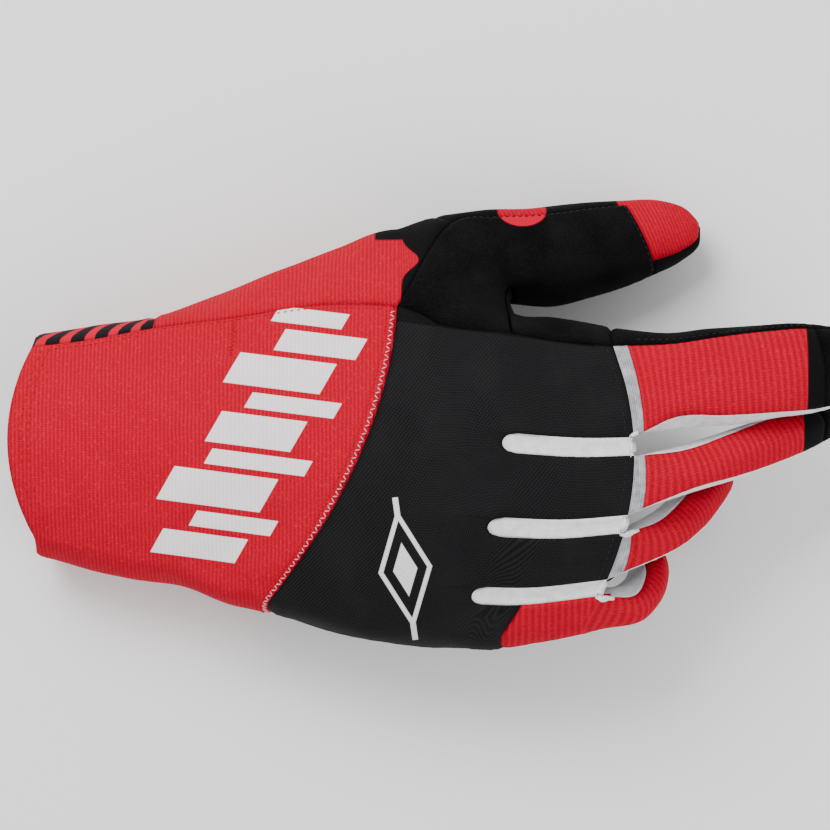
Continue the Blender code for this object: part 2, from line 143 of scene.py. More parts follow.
DIGITS = {
    "index": Digit(72.0, (0.36, 0.33, 0.31), (2, 11, 20), (5, 6, 4), 6, 0.94, STRAIGHT),
    "middle": Digit(78.0, (0.36, 0.33, 0.31), (17, 31, 41), (15, 19, 23), 0, 1.0, STRAIGHT),
    "ring": Digit(68.0, (0.40, 0.32, 0.28), (35, 52, 76), (25, 46, 52), -6, 0.92, STRAIGHT),
    "little": Digit(50.0, (0.40, 0.31, 0.29), (40, 60, 84), (12, 66, 100), -14, 0.84, STRAIGHT),
    "thumb": Digit(83.0, (0.40, 0.32, 0.28), (15, 12, 7), (2, 12, 12), 8, 1.1, (40, 20, 8)),
}
FINGER_ROWS = (
    DigitRow(0.20, 0.90, 0.97, 44),
    DigitRow(0.38, 0.91, 0.92, 40),
    DigitRow(0.58, 0.88, 0.86, 34),
    DigitRow(0.79, 0.81, 0.79, 28),
    DigitRow(0.91, 0.66, 0.63, 24),
    DigitRow(0.972, 0.40, 0.38, 22),
)
THUMB_ROWS = (
    DigitRow(0.15, 1.00, 1.06, 45),
    DigitRow(0.30, 1.05, 1.03, 45),
    DigitRow(0.46, 0.94, 0.97, 45),
    DigitRow(0.61, 0.85, 0.90, 45),
    DigitRow(0.76, 0.70, 0.78, 42),
    DigitRow(0.89, 0.55, 0.60, 40),
    DigitRow(0.965, 0.34, 0.36, 40),
)
ROW_NAMES = list(BODY_ROWS)
FLAT_ROWS = ("hem", "cuff", "wrist")
FINGERTIP_ROW = 4
THUMB_TIP_ROW = 5


def ease(t: Array) -> Array:
    """Smooth step from 0 to 1: three times the square less twice the cube."""
    t = np.clip(t, 0, 1)
    return t * t * (3 - 2 * t)


@dataclass
class CubicGrid:
    """Cubic curves through rows of control points, with a fixed number of steps to each cell."""

    steps: int = STEPS

    def through(self, points: Array, knots: Array, at: Array) -> Array:
        """Points on the curves: Hermite cubics whose slopes weigh the two chords at each knot.

        Args:
            points: control points, the first and last of which only guide.
            knots: one value for each of them.
            at: values to work out.
        Returns:
            The points at those values.
        """
        wide = (-1, *([1] * (points.ndim - 1)))
        chord = np.diff(knots).reshape(wide)
        rise = np.diff(points, axis=0) / chord
        slope = (rise[:-1] * chord[1:] + rise[1:] * chord[:-1]) / (chord[:-1] + chord[1:])
        inner, inner_knots = points[1:-1], knots[1:-1]
        cell = np.clip(np.searchsorted(inner_knots, at, side="right") - 1, 0, len(inner_knots) - 2)
        width = inner_knots[cell + 1] - inner_knots[cell]
        t, width = ((at - inner_knots[cell]) / width).reshape(wide), width.reshape(wide)
        return (
            (1 + 2 * t) * (1 - t) ** 2 * inner[cell]
            + t * (1 - t) ** 2 * width * slope[cell]
            + t * t * (3 - 2 * t) * inner[cell + 1]
            - t * t * (1 - t) * width * slope[cell + 1]
        )

    def refine(self, points: Array) -> Array:
        """Finer rows between points[1:-1], on knots spaced by the rows' mean distance."""
        gaps = np.linalg.norm(np.diff(points, axis=0), axis=-1).reshape(len(points) - 1, -1)
        knots = np.concatenate([[0.0], np.cumsum(np.maximum(gaps.mean(axis=1), 1e-3))])
        inner = knots[1:-1]
        cells = inner[:-1, None] + np.diff(inner)[:, None] * np.arange(self.steps) / self.steps
        return self.through(points, knots, np.append(cells.ravel(), inner[-1]))

    def rows(self, rows: Array, before: Array | None = None) -> Array:
        """Finer rows through control rows, with straight ends unless a row before is given."""
        first = 2 * rows[0] - rows[1] if before is None else before
        return self.refine(np.concatenate([first[None], rows, [2 * rows[-1] - rows[-2]]]))

    def loop(self, rows: Array) -> Array:
        """Finer columns round closed loops, with the first column repeated at the end."""
        columns = np.moveaxis(np.asarray(rows, float), 1, 0)
        return np.moveaxis(self.refine(np.concatenate([columns[-1:], columns, columns[:2]])), 0, 1)


class Patch(NamedTuple):
    """One grid of the skin, its cells' panel names and its cloth coordinates in mm."""

    points: Array
    names: Array
    cloth: Array


@dataclass
class GloveSkin:
    """The glove's outer surface in mm, as grids: hand, fingers, thumb and the webs between."""

    length: float = 180.0
    width: float = 100.0
    height: float = 67.0
    finger_depth: float = 25.0
    thumb_width: float = 34.0
    insert_length: float = 3.5
    slot_round: float = 2.6
    thumb_shift: tuple[float, ...] = (-0.035, 0.122, -0.08)
    middle: tuple[float, ...] = (-0.3, 1.95, 0.0)
    curve: CubicGrid = field(default_factory=CubicGrid)

    def __post_init__(self) -> None:
        """Works out the columns' shares and the hand's control rows."""
        shares = [1.0]
        for slot in FINGER_SLOTS:
            shares += [shares[-1] - slot.width / 2, shares[-1] - slot.width]
            if slot.gusset_after:
                shares.append(shares[-1] - slot.gusset_after)
        self.shares = np.array(shares)
        self.back = len(shares)
        self.little_side, self.thumb_side = self.back, 2 * self.back + 1
        self.control = np.array([self.body_loop(n, r) for n, r in BODY_ROWS.items()])

    def body_loop(self, name: str, row: BodyRow) -> Array:
        """One row's closed loop: back, little side, palm and thumb side, bowed as a parabola."""
        a = self.shares
        size = np.array([self.length, self.width, self.height])
        x = (row.x_little * 2 * (0.5 - a) * (1 - a) + row.x_mid * 4 * a * (1 - a)
             + row.x_thumb * 2 * a * (a - 0.5))
        bow = 1 - (2 * a - 1) ** 2
        inset = FLAT_INSET if name in FLAT_ROWS else ROUND_INSET
        edge_thumb = row.y_thumb + (row.side_thumb - row.y_thumb) * inset
        edge_little = row.y_little + (row.side_little - row.y_little) * inset
        back = np.stack([x, row.y_little + (row.y_thumb - row.y_little) * a,
                         row.z_little + (row.z_thumb - row.z_little) * a + row.crown * bow], 1)
        palm = np.stack([x, edge_little + (edge_thumb - edge_little) * a, row.palm_little
                         + (row.palm_thumb - row.palm_little) * a - row.belly * bow], 1)
        little = [[row.x_little, row.side_little, row.z_side_little]]
        thumb = [[row.x_thumb, row.side_thumb, row.z_side_thumb]]
        return np.concatenate([back, little, palm[::-1], thumb]) * size

    def palm_column(self, column: int) -> int:
        """The palm's column under a column of the back."""
        return self.back + 1 + self.back - 1 - column

    def along_bones(self, digit: Digit, distance: float) -> tuple[Array, Array]:
        """Point and direction that far along a digit, whose angles change evenly between bones."""
        middles = np.cumsum(digit.bones) - np.array(digit.bones) / 2
        share = (np.arange(BONE_STEPS) + 0.5) / BONE_STEPS * distance / digit.length
        bend = np.radians(np.interp(share, middles, digit.bends))
        turn = np.radians(np.interp(share, middles, digit.turns))
        way = np.stack([np.cos(bend) * np.cos(turn), np.cos(bend) * np.sin(turn), -np.sin(bend)], 1)
        return way.sum(axis=0) * distance / BONE_STEPS, way[-1]

    def digit_loop(self, digit: Digit, start: Array, row: DigitRow, half: float) -> Array:
        """Eight points round a digit: an ellipse, fuller at its corners, square to the bone."""
        offset, ahead = self.along_bones(digit, row.along * digit.length)
        level = np.cross([0, 0, 1], ahead)
        level /= np.linalg.norm(level)
        roll = math.radians(digit.roll)
        side = level * math.cos(roll) - np.cross(ahead, level) * math.sin(roll)
        up = np.cross(ahead, side)
        middles = np.cumsum(digit.bones) - np.array(digit.bones) / 2
        slant = math.radians(np.interp(row.along, middles, digit.slants))
        side = side * math.cos(slant) - ahead * math.sin(slant)
        corner, quarter = math.radians(row.gusset), math.pi / 2
        angles = np.array([0, corner, quarter, 2 * quarter - corner, 2 * quarter,
                           2 * quarter + corner, 3 * quarter, -corner])
        full = 1 + CORNER_FULLNESS * np.sin(2 * angles) ** 2
        deep = digit.depth * self.finger_depth / 2 * row.depth
        return (start + offset + np.outer(half * row.width * full * np.cos(angles), side)
                + np.outer(deep * full * np.sin(angles), up))

    def digit_rows(self, name: str, root: Array, rows: tuple[DigitRow, ...], start: Array,
                   half: float) -> Array:
        """Control rows of a digit from its root to its closed tip."""
        digit = DIGITS[name]
        loops = [self.digit_loop(digit, start, row, half) for row in rows]
        tip = start + self.along_bones(digit, digit.length)[0]
        return np.array([root, *loops, np.repeat([tip], len(root), axis=0)])

    def edge(self, body: Array, row: int, first: int, last: int) -> Array:
        """Points of a row of the hand between two control columns, either way round."""
        n = self.curve.steps
        low, high = sorted((first, last))
        run = body[row * n, low * n:high * n + 1]
        return run if last > first else run[::-1]

    def rooted(self, control: Array, edges: list[tuple[int, Array]]) -> Array:
        """Fine loops of a digit whose root lies on the hand's own edges."""
        loops = self.curve.loop(control)
        for first, points in edges:
            start = first * self.curve.steps
            loops[0, start:start + len(points)] = points
        return loops

    def finger(self, body: Array, number: int) -> Array:
        """Fine grid of a finger, whose first cell is the stretch insert."""
        name, last = FINGER_SLOTS[number].name, len(ROW_NAMES) - 1
        back = [3 * number + line for line in range(3)]
        palm = [self.palm_column(c) for c in back]
        root_row = self.control[-1]
        top, low = [root_row[c] for c in back], [root_row[c] for c in palm]
        near = root_row[self.thumb_side] if number == 0 else (top[0] + low[0]) / 2
        far = root_row[self.little_side] if number == 3 else (top[2] + low[2]) / 2
        root = np.array([near, *top, far, *low[::-1]])
        edges = [(1, self.edge(body, last, back[0], back[2])),
                 (5, self.edge(body, last, palm[2], palm[0]))]
        if number == 0:
            edges += [(0, self.edge(body, last, self.thumb_side, self.thumb_side + 1)),
                      (7, self.edge(body, last, self.thumb_side - 1, self.thumb_side))]
        if number == 3:
            edges.append((3, self.edge(body, last, self.little_side - 1, self.little_side + 1)))
        half = np.linalg.norm(root[0] - root[4]) / 2
        control = self.digit_rows(name, root, FINGER_ROWS, root.mean(axis=0), half)
        loops = self.rooted(control, edges)
        share = self.insert_length / (FINGER_ROWS[0].along * DIGITS[name].length)
        loops = np.insert(loops, 1, loops[0] + (loops[1] - loops[0]) * share, axis=0)
        behind = control[0] - (control[1] - control[0]) * share * 2
        behind[1:4] = self.control[-2][back]
        behind[5:8] = self.control[-2][palm[::-1]]
        return self.curve.rows(loops, before=self.curve.loop(behind[None])[0])

    def thumb(self, body: Array) -> Array:
        """Fine grid of the thumb, from the hole in the hand's side."""
        seam, mid, slot = (ROW_NAMES.index(n) for n in ("seam", "thumb", "slot"))
        low, side, n = self.thumb_side - 1, self.thumb_side, self.curve.steps
        c = self.control
        root = np.array([c[seam, side], c[seam, 0], c[mid, 0], c[slot, 0],
                         c[slot, side], c[slot, low], c[mid, low], c[seam, low]])
        size = np.array([self.length, self.width, self.height])
        start = root.mean(axis=0) + np.array(self.thumb_shift) * size
        control = self.digit_rows("thumb", root, THUMB_ROWS, start, self.thumb_width / 2)
        rows = slice(seam * n, slot * n + 1)
        loops = self.rooted(control, [
            (0, self.edge(body, seam, side, side + 1)),
            (1, body[rows, 0]),
            (3, self.edge(body, slot, side + 1, low)),
            (5, body[rows, low * n][::-1]),
            (7, self.edge(body, seam, low, side)),
        ])
        return self.curve.rows(loops, before=loops[0] - (loops[1] - loops[0]) / 2)

    def body_panel(self, row: int, column: int) -> str:
        """Panel of a cell of the hand, or no name at the thumb's hole."""
        at = ROW_NAMES.index
        back = column < self.back - 1
        little = column in (self.little_side - 1, self.little_side)
        thumb = column in (self.thumb_side - 1, self.thumb_side)
        if row < at("wrist") and (thumb or not (back or little)):
            return "cuff_palm"
        if row < at("seam") and (back or little):
            return "cuff_back"
        if thumb:
            if row < at("seam"):
                return "thumb_side"
            return "" if row < at("slot") else "crotch_guard"
        if back and row >= at("slot") and column % 3 == 2:
            return "gusset_" + FINGER_SLOTS[column // 3].name
        if row >= at("knuckle") and self.back - 3 <= column < self.little_side:
            return "finger_back_little"
        if back or column == self.little_side - 1:
            return "back_panel"
        if column == self.little_side and row >= at("knuckle"):
            return "little_side_gusset"
        return "palm"

    def finger_panel(self, finger: int, row: int, column: int) -> str:
        """Panel of a cell of a finger."""
        name = FINGER_SLOTS[finger].name
        if column in (1, 2):
            if name != "little" and row == 0:
                return "insert_" + name
            tip = name in ("index", "middle") and row > FINGERTIP_ROW
            return ("fingertip_" if tip else "finger_back_") + name
        if column in (5, 6):
            return "palm"
        if column in (0, 7):
            return "index_side" if finger == 0 else "gusset_" + FINGER_SLOTS[finger - 1].name
        if name == "little":
            return "finger_back_little" if column == 3 else "little_side_gusset"
        return "gusset_" + name

    def thumb_panel(self, row: int, column: int) -> str:
        """Panel of a cell of the thumb."""
        if row == 0 and column in (3, 4, 5):
            return "crotch_guard"
        if column in (7, 0):
            return "thumb_side" if row == 0 else "thumb_back"
        if column in (1, 2):
            return "thumb_back" if row >= THUMB_TIP_ROW else "thumb_wrap"
        return "thumb_wrap" if column == 3 and row < THUMB_TIP_ROW else "thumb_palm"

    def patch(self, grid: Array, panel: object, by_length: bool) -> Patch:
        """A patch with its cells named and its cloth coordinates worked out.

        Args:
            grid: points in mm, rows by columns.
            panel: function from a control row and column to the panel's name.
            by_length: True to measure along the rows' mean length, False along X.
        Returns:
            The patch, moved to the glove's middle.
        """
        n = self.curve.steps
        rows, columns = grid.shape[0] - 1, grid.shape[1] - 1
        names = np.array([[panel(r // n, c // n) for c in range(0, columns, n)]
                          for r in range(0, rows, n)])
        names = names.repeat(n, axis=0)[:rows].repeat(n, axis=1)[:, :columns]
        around = np.linalg.norm(np.diff(grid, axis=1), axis=2).cumsum(axis=1)
        around = np.insert(around, 0, 0, axis=1)
        around -= around[:, -1:] / 4
        along = np.linalg.norm(np.diff(grid, axis=0), axis=2).mean(axis=1).cumsum()
        along = np.insert(along, 0, 0)[:, None] + 0 * around
        cloth = np.stack([along if by_length else grid[..., 0], around], axis=2)
        return Patch(grid - self.middle, names, cloth)

    def round_slots(self, body: Array) -> Array:
        """Slides the gussets' starts along the hand, so that each is half a circle across.

        Args:
            body: the hand's fine grid.
        Returns:
            The grid, read at rows moved by the circle's height and faded out over one cell.
        """
        n, slot = self.curve.steps, ROW_NAMES.index("slot")
        row, column = np.arange(body.shape[0])[:, None], np.arange(body.shape[1])[None]
        shift = np.zeros(body.shape[1])[None]
        for finger in range(3):
            across = np.abs(column - (3 * finger + 2.5) * n) / (n / 2)
            arc = 1 - np.sqrt(1 - np.minimum(across, 1) ** 2)
            shift = shift + arc * np.clip(1 - (across - 1) / 1.6, 0, 1)
        at = row + shift * ease(1 - np.abs(row - slot * n) / n) * self.slot_round
        low = np.minimum(at.astype(int), body.shape[0] - 2)
        share = (at - low)[..., None]
        return body[low, column] * (1 - share) + body[low + 1, column] * share

    def patches(self) -> list[Patch]:
        """All the grids: the hand, four fingers, the thumb and three webs, kept above the table."""
        n, last = self.curve.steps, len(ROW_NAMES) - 1
        body = self.curve.rows(self.curve.loop(self.control))
        fingers = [self.finger(body, number) for number in range(4)]
        made = []
        for number in range(3):
            a, b = fingers[number][0], fingers[number + 1][0]
            near = a[3 * n:5 * n + 1]
            far = np.concatenate([b[:n + 1][::-1], b[7 * n:8 * n][::-1]])
            across = np.arange(n + 1)[:, None, None] / n
            web = near[None] * (1 - across) + far[None] * across
            back = (3 * number + 2, 3 * number + 3)
            web[:, 0] = self.edge(body, last, *back)
            web[:, -1] = self.edge(body, last, *(self.palm_column(c) for c in back))
            name = "gusset_" + FINGER_SLOTS[number].name
            made.append(self.patch(web[::-1], lambda r, c, name=name: name, False))
        for grid in (body, *fingers):
            grid[..., 2] = np.maximum(grid[..., 2], 0)
        thumb = self.thumb(body)
        thumb[..., 2] = np.maximum(thumb[..., 2], 0)
        made.append(self.patch(self.round_slots(body), self.body_panel, False))
        for number, grid in enumerate(fingers):
            made.append(self.patch(
                grid, lambda r, c, f=number: self.finger_panel(f, r, c), True))
        made.append(self.patch(thumb, self.thumb_panel, True))
        return made


class Fold(NamedTuple):
    """A soft fold or hollow: middle in mm, angle in degrees, half length, half width, height."""

    x: float
    y: float
    angle: float
    reach: float
    width: float
    height: float


FOLDS = (
    Fold(-60, 16, -25, 11, 3.4, 1.1),
    Fold(-54, 22, -40, 9, 3.0, -0.9),
    Fold(-22, 27, 58, 12, 3.4, 1.0),
    Fold(-30, 24, 50, 10, 3.2, -0.8),
    Fold(-86, 4, 84, 22, 4.0, 0.5),
    Fold(-96, -12, 96, 20, 3.6, -0.5),
    Fold(-74, -24, 70, 16, 4.2, 0.7),
    Fold(-46, -42, 20, 16, 4.0, 0.8),
    Fold(-58, -34, 35, 14, 3.6, -0.6),
    Fold(16, -38, 82, 24, 3.2, 0.8),
    Fold(9, -36, 84, 24, 3.6, -0.5),
    Fold(-6, 8, 70, 18, 6.0, 0.5),
    Fold(-44, 44, 30, 14, 3.0, 0.9),
    Fold(-36, 47, 34, 12, 3.0, -0.8),
    Fold(14, 60, 12, 16, 3.0, 0.7),
    Fold(40, 56, 95, 8, 3.0, -0.6),
    Fold(84, 20, 92, 9, 2.6, -0.5),
    Fold(78, -4, 98, 8, 2.4, -0.5),
    Fold(106, 20, 92, 8, 2.2, -0.4),
)


# Lower edge of the suede strip beside the index finger, in mm.
STRIP_X = (-8.2, -7.5, -2.6, 13.1, 29.9, 42.4, 45.0, 46.1, 46.8)
STRIP_Y = (60, 32.6, 28.2, 26.5, 24.2, 22.7, 23.5, 26.5, 60)


@dataclass
class SewnSkin:
    """The patches welded into one surface, with seams drawn in and the cloth folded.

    Each edge is how many mm a step of relief takes. The distance from seams is found in a number of
    passes, and counts up to the reach.
    """

    patches: list[Patch]
    seam_depth: float = 0.55
    seam_width: float = 0.9
    raised: tuple[str, ...] = ("thumb_wrap", "index_side", "crotch_guard", "fingertip")
    lift: float = 0.45
    lift_edge: float = 1.0
    strip_lift: float = 1.1
    strip_edge: float = 1.1
    tight_edge: float = 0.8
    gusset_sink: float = 0.9
    sink_edge: float = 2.2
    pucker: float = 0.10
    pucker_from: float = 2.0
    fold_edge: float = 2.5
    drift: float = 0.22
    drift_edge: float = 3.0
    reach: float = 20.0
    passes: int = 12

    def __post_init__(self) -> None:
        """Welds the grids' points, then shapes them along their normals."""
        n = [p.points.shape[0] * p.points.shape[1] for p in self.patches]
        starts = np.concatenate([[0], np.cumsum(n)[:-1]])
        corners, cloth, names = [], [], []
        for start, patch in zip(starts, self.patches):
            rows, columns = patch.points.shape[:2]
            at = np.arange(rows * columns).reshape(rows, columns)
            ring = (at[:-1, :-1], at[:-1, 1:], at[1:, 1:], at[1:, :-1])
            keep = (patch.names != "").ravel()
            quads = np.stack([r.ravel() for r in ring], axis=1)[keep]
            corners.append(quads + start)
            cloth.append(patch.cloth.reshape(-1, 2)[quads])
            names.append(patch.names.ravel()[keep])
        flat = np.concatenate([p.points.reshape(-1, 3) for p in self.patches])
        _, first, weld = np.unique(np.round(flat, 3), axis=0, return_index=True,
                                   return_inverse=True)
        weld = weld.ravel()
        self.points = flat[first]
        self.weld, self.starts = weld, starts
        self.quads, self.cloth = weld[np.concatenate(corners)], np.concatenate(cloth)
        self.names = np.concatenate(names)
        self.shape()

    def normals(self) -> Array:
        """Unit normals at the points: the sum of the faces' crossed diagonals."""
        p = self.points[self.quads]
        face = np.cross(p[:, 2] - p[:, 0], p[:, 3] - p[:, 1])
        total = np.zeros_like(self.points)
        for corner in range(4):
            np.add.at(total, self.quads[:, corner], face)
        return total / np.maximum(np.linalg.norm(total, axis=1, keepdims=True), 1e-12)

    def seam_distance(self) -> Array:
        """Distance in mm from each point to the nearest panel edge, along the mesh's own edges."""
        panel = np.unique(self.names, return_inverse=True)[1]
        count = len(self.points)
        low, high = np.full(count, len(panel)), np.full(count, -1)
        for corner in range(4):
            np.minimum.at(low, self.quads[:, corner], panel)
            np.maximum.at(high, self.quads[:, corner], panel)
        ends = np.concatenate([self.quads[:, [i, (i + 1) % 4]] for i in range(4)])
        ends = np.sort(ends[ends[:, 0] != ends[:, 1]], axis=1)
        ends, uses = np.unique(ends, axis=0, return_counts=True)
        far = np.full(count, self.reach)
        far[low != high] = 0
        far[ends[uses == 1].ravel()] = 0
        span = np.linalg.norm(self.points[ends[:, 0]] - self.points[ends[:, 1]], axis=1)
        for _ in range(self.passes):
            np.minimum.at(far, ends[:, 0], far[ends[:, 1]] + span)
            np.minimum.at(far, ends[:, 1], far[ends[:, 0]] + span)
        return far

    def flags(self, *starts: str) -> Array:
        """1 at the points of the panels whose names start so, 0 elsewhere."""
        found = np.zeros(len(self.points))
        for start in starts:
            found[self.quads[np.char.startswith(self.names, start)].ravel()] = 1
        return found

    def relief(self) -> Array:
        """How far the panels stand out in mm.

        Seams sink by a bell curve of the distance from them. Raised panels, gussets and the suede
        strip move by a smooth step of it.
        """
        far, (x, y, _) = self.far, self.points.T
        move = -self.seam_depth * np.exp(-(far / self.seam_width) ** 2)
        move += self.flags(*self.raised) * self.lift * ease(far / self.lift_edge)
        move -= self.flags("gusset", "insert") * self.gusset_sink * ease(far / self.sink_edge)
        strip = ease((y - np.interp(x, STRIP_X, STRIP_Y)) / self.strip_edge)
        move += self.flags("back_panel") * self.strip_lift * strip * ease(far / self.tight_edge)
        return move

    def creases(self, normal: Array) -> Array:
        """How far the cloth's creases stand out in mm.

        It puckers beside seams as a product of sines under a bell curve, each fold is a bell curve
        across and along its line, and the rest drifts as a slower product of sines.
        """
        x, y, z = self.points.T
        beside = np.exp(-((self.far - self.pucker_from) / self.sink_edge) ** 2)
        ripple = np.sin(x * 1.9 + 0.6 * np.sin(y * 0.7)) * np.sin(y * 1.1 + z * 1.3)
        move = self.pucker * beside * ripple
        upper = ease((normal[:, 2] + 0.1) / 0.5)
        for fold in FOLDS:
            turn = math.radians(fold.angle)
            s = (x - fold.x) * math.cos(turn) + (y - fold.y) * math.sin(turn)
            t = (y - fold.y) * math.cos(turn) - (x - fold.x) * math.sin(turn)
            t = t + 0.06 * s * np.sin(s * 0.12)
            bell = np.exp(-(t / fold.width) ** 2 - (s / fold.reach) ** 2)
            move += fold.height * bell * upper * ease(self.far / self.fold_edge)
        slow = np.sin(x * 0.23 + 1.3 * np.sin(y * 0.11)) * np.sin(y * 0.29 + z * 0.17)
        return move + self.drift * slow * ease(self.far / self.drift_edge)

    def shape(self) -> None:
        """Moves the points along their normals, and keeps them above the table."""
        self.far = self.seam_distance()
        normal = self.normals()
        self.points = self.points + normal * (self.relief() + self.creases(normal))[:, None]
        self.points[:, 2] = np.maximum(self.points[:, 2], 0)
        self.normal = self.normals()

    def sample(self, patch: int, rows: Array, columns: Array) -> tuple[Array, Array]:
        """Points and normals at fractional rows and columns, blended from a cell's corners."""
        shape = self.patches[patch].points.shape[:2]
        at = self.weld[self.starts[patch]:self.starts[patch] + shape[0] * shape[1]].reshape(shape)
        r = np.clip(rows, 0, shape[0] - 1.001)
        c = np.clip(columns, 0, shape[1] - 1.001)
        i, j = r.astype(int), c.astype(int)
        a, b = (r - i)[:, None], (c - j)[:, None]
        found = []
        for data in (self.points, self.normal):
            found.append((data[at[i, j]] * (1 - a) + data[at[i + 1, j]] * a) * (1 - b)
                         + (data[at[i, j + 1]] * (1 - a) + data[at[i + 1, j + 1]] * a) * b)
        return found[0], found[1]


def add_mesh(name: str, points: Array, faces: list, material: bpy.types.Material,
             cloth: Array | None = None) -> bpy.types.Object:
    """Makes a smooth mesh object.

    Args:
        name: the piece's name.
        points: its points in metres.
        faces: lists of point numbers.
        material: its finish.
        cloth: cloth coordinates for each face corner in mm, or None.
    Returns:
        The object, linked to the scene.
    """
    mesh = bpy.data.meshes.new(name)
    mesh.from_pydata(points.tolist(), [], faces)
    mesh.polygons.foreach_set("use_smooth", np.ones(len(mesh.polygons), bool))
    if cloth is not None:
        layer = mesh.uv_layers.new(name="Cloth")
        layer.data.foreach_set("uv", (cloth / CLOTH_UNIT).astype(np.float32).ravel())
    mesh.materials.append(material)
    made = bpy.data.objects.new(name, mesh)
    bpy.context.scene.collection.objects.link(made)
    return made


class Sock:
    """A shader socket, or a plain number, with arithmetic that adds Math nodes."""

    def __init__(self, tree: "Shade", socket: object) -> None:
        """Holds the tree and one of its output sockets."""
        self.tree, self.socket = tree, socket

    def math(self, operation: str, *values: object) -> "Sock":
        """A Math node on this socket and others."""
        return self.tree.math(operation, self, *values)

    def __add__(self, other: object) -> "Sock":
        """This plus other."""
        return self.math("ADD", other)

    def __sub__(self, other: object) -> "Sock":
        """This less other."""
        return self.math("SUBTRACT", other)

    def __rsub__(self, other: object) -> "Sock":
        """Other less this."""
        return self.tree.math("SUBTRACT", other, self)

    def __mul__(self, other: object) -> "Sock":
        """This times other."""
        return self.math("MULTIPLY", other)

    def __truediv__(self, other: object) -> "Sock":
        """This over other."""
        return self.math("DIVIDE", other)

    __radd__, __rmul__ = __add__, __mul__

    def wave(self, pitch: float) -> "Sock":
        """A sine from 0 to 1 that repeats each pitch."""
        return (self * (2 * math.pi / pitch)).math("SINE") * 0.5 + 0.5

    def step(self, low: float, high: float) -> "Sock":
        """Smooth step from 0 at low to 1 at high."""
        node = self.tree.node("ShaderNodeMapRange", {"interpolation_type": "SMOOTHSTEP"},
                              Value=self, **{"From Min": low, "From Max": high})
        return node("Result")

    def within(self, low: float, high: float, soft: float = 0.12) -> "Sock":
        """1 between low and high, 0 outside, with soft edges."""
        return self.step(low - soft, low + soft) * (1 - self.step(high - soft, high + soft))


CLOTH_SHINE = 0.08


class Shade:
    """A material being made: its nodes, its sockets and its surface."""

    def __init__(self, name: str) -> None:
        """Makes an empty node material with one Principled surface."""
        self.material = bpy.data.materials.new(name)
        self.material.use_nodes = True
        self.nodes = self.material.node_tree.nodes
        self.links = self.material.node_tree.links
        self.surface = self.nodes["Principled BSDF"]
        uv = self.node("ShaderNodeUVMap", {"uv_map": "Cloth"})("UV")
        parts = self.node("ShaderNodeSeparateXYZ", {}, Vector=uv)
        self.along, self.across = parts("X") * CLOTH_UNIT, parts("Y") * CLOTH_UNIT
        self.place = self.node("ShaderNodeTexCoord", {})("Object")
        spot = self.node("ShaderNodeSeparateXYZ", {}, Vector=self.place)
        self.x, self.y, self.z = (spot(axis) * (1 / MM) for axis in "XYZ")

    def node(self, kind: str, settings: dict, **inputs: object) -> object:
        """Adds a node, sets its settings, then its sockets.

        Args:
            kind: the node's type.
            settings: its own properties.
            inputs: values or sockets by socket name.
        Returns:
            A function from an output's name to its socket.
        """
        made = self.nodes.new(kind)
        for key, value in settings.items():
            setattr(made, key, value)
        for key, value in inputs.items():
            self.feed(made.inputs[key], value)
        return lambda output: Sock(self, made.outputs[output])

    def feed(self, into: object, value: object) -> None:
        """Links or sets one input."""
        if isinstance(value, Sock):
            self.links.new(value.socket, into)
        else:
            into.default_value = value

    def math(self, operation: str, *values: object) -> Sock:
        """A Math node on numbers or sockets."""
        made = self.nodes.new("ShaderNodeMath")
        made.operation = operation
        for into, value in zip(made.inputs, values):
            self.feed(into, value)
        return Sock(self, made.outputs[0])

    def mix(self, share: object, first: object, second: object) -> Sock:
        """Two colours mixed by a share."""
        made = self.nodes.new("ShaderNodeMix")
        made.data_type = "RGBA"
        for number, value in ((0, share), (6, first), (7, second)):
            if isinstance(value, tuple):
                value = (*value, 1.0)
            self.feed(made.inputs[number], value)
        return Sock(self, made.outputs[2])

    def noise(self, size: float, detail: float = 3) -> Sock:
        """Noise whose features are about that many mm across."""
        return self.node("ShaderNodeTexNoise", {}, Vector=self.place, Scale=1 / MM / size,
                         Detail=detail)("Fac")

    def turned(self, x: float, y: float, angle: float) -> tuple[Sock, Sock]:
        """Distances in mm along and across a line through a point, at an angle in degrees."""
        cosine, sine = math.cos(math.radians(angle)), math.sin(math.radians(angle))
        right, up = self.x - x, self.y - y
        return right * cosine + up * sine, up * cosine - right * sine

    def finish(self, colour: object, roughness: object, height: Sock,
               depth: float) -> bpy.types.Material:
        """Feeds the surface: colour, roughness, and a bump of that depth in mm."""
        bump = self.node("ShaderNodeBump", {}, Strength=1.0, Distance=depth * MM, Height=height)
        self.feed(self.surface.inputs["Normal"], bump("Normal"))
        self.feed(self.surface.inputs["Base Color"], colour)
        self.feed(self.surface.inputs["Roughness"], roughness)
        self.surface.inputs["Specular IOR Level"].default_value = CLOTH_SHINE
        return self.material


class Print(Enum):
    """What is printed on a panel."""

    NONE = "none"
    BARS = "bars"
    EMBLEM = "emblem"


class Cover(Enum):
    """Where suede covers part of a knit panel."""

    NONE = "none"
    THUMB = "thumb"
    TIPS = "tips"


RED = (0.56, 0.0, 0.024)
DEEP_RED = (0.36, 0.0, 0.013)
HEATHER = (0.95, 0.10, 0.12)
WHITE = (0.92, 0.92, 0.93)
BAND_BLACK = (0.008, 0.007, 0.008)
STRETCH_DARK, STRETCH_PALE = (0.003, 0.003, 0.0035), (0.012, 0.012, 0.013)
STRETCH_WORN = (0.016, 0.016, 0.017)
SUEDE_DARK, SUEDE_PALE = (0.0008, 0.0008, 0.001), (0.006, 0.006, 0.0065)


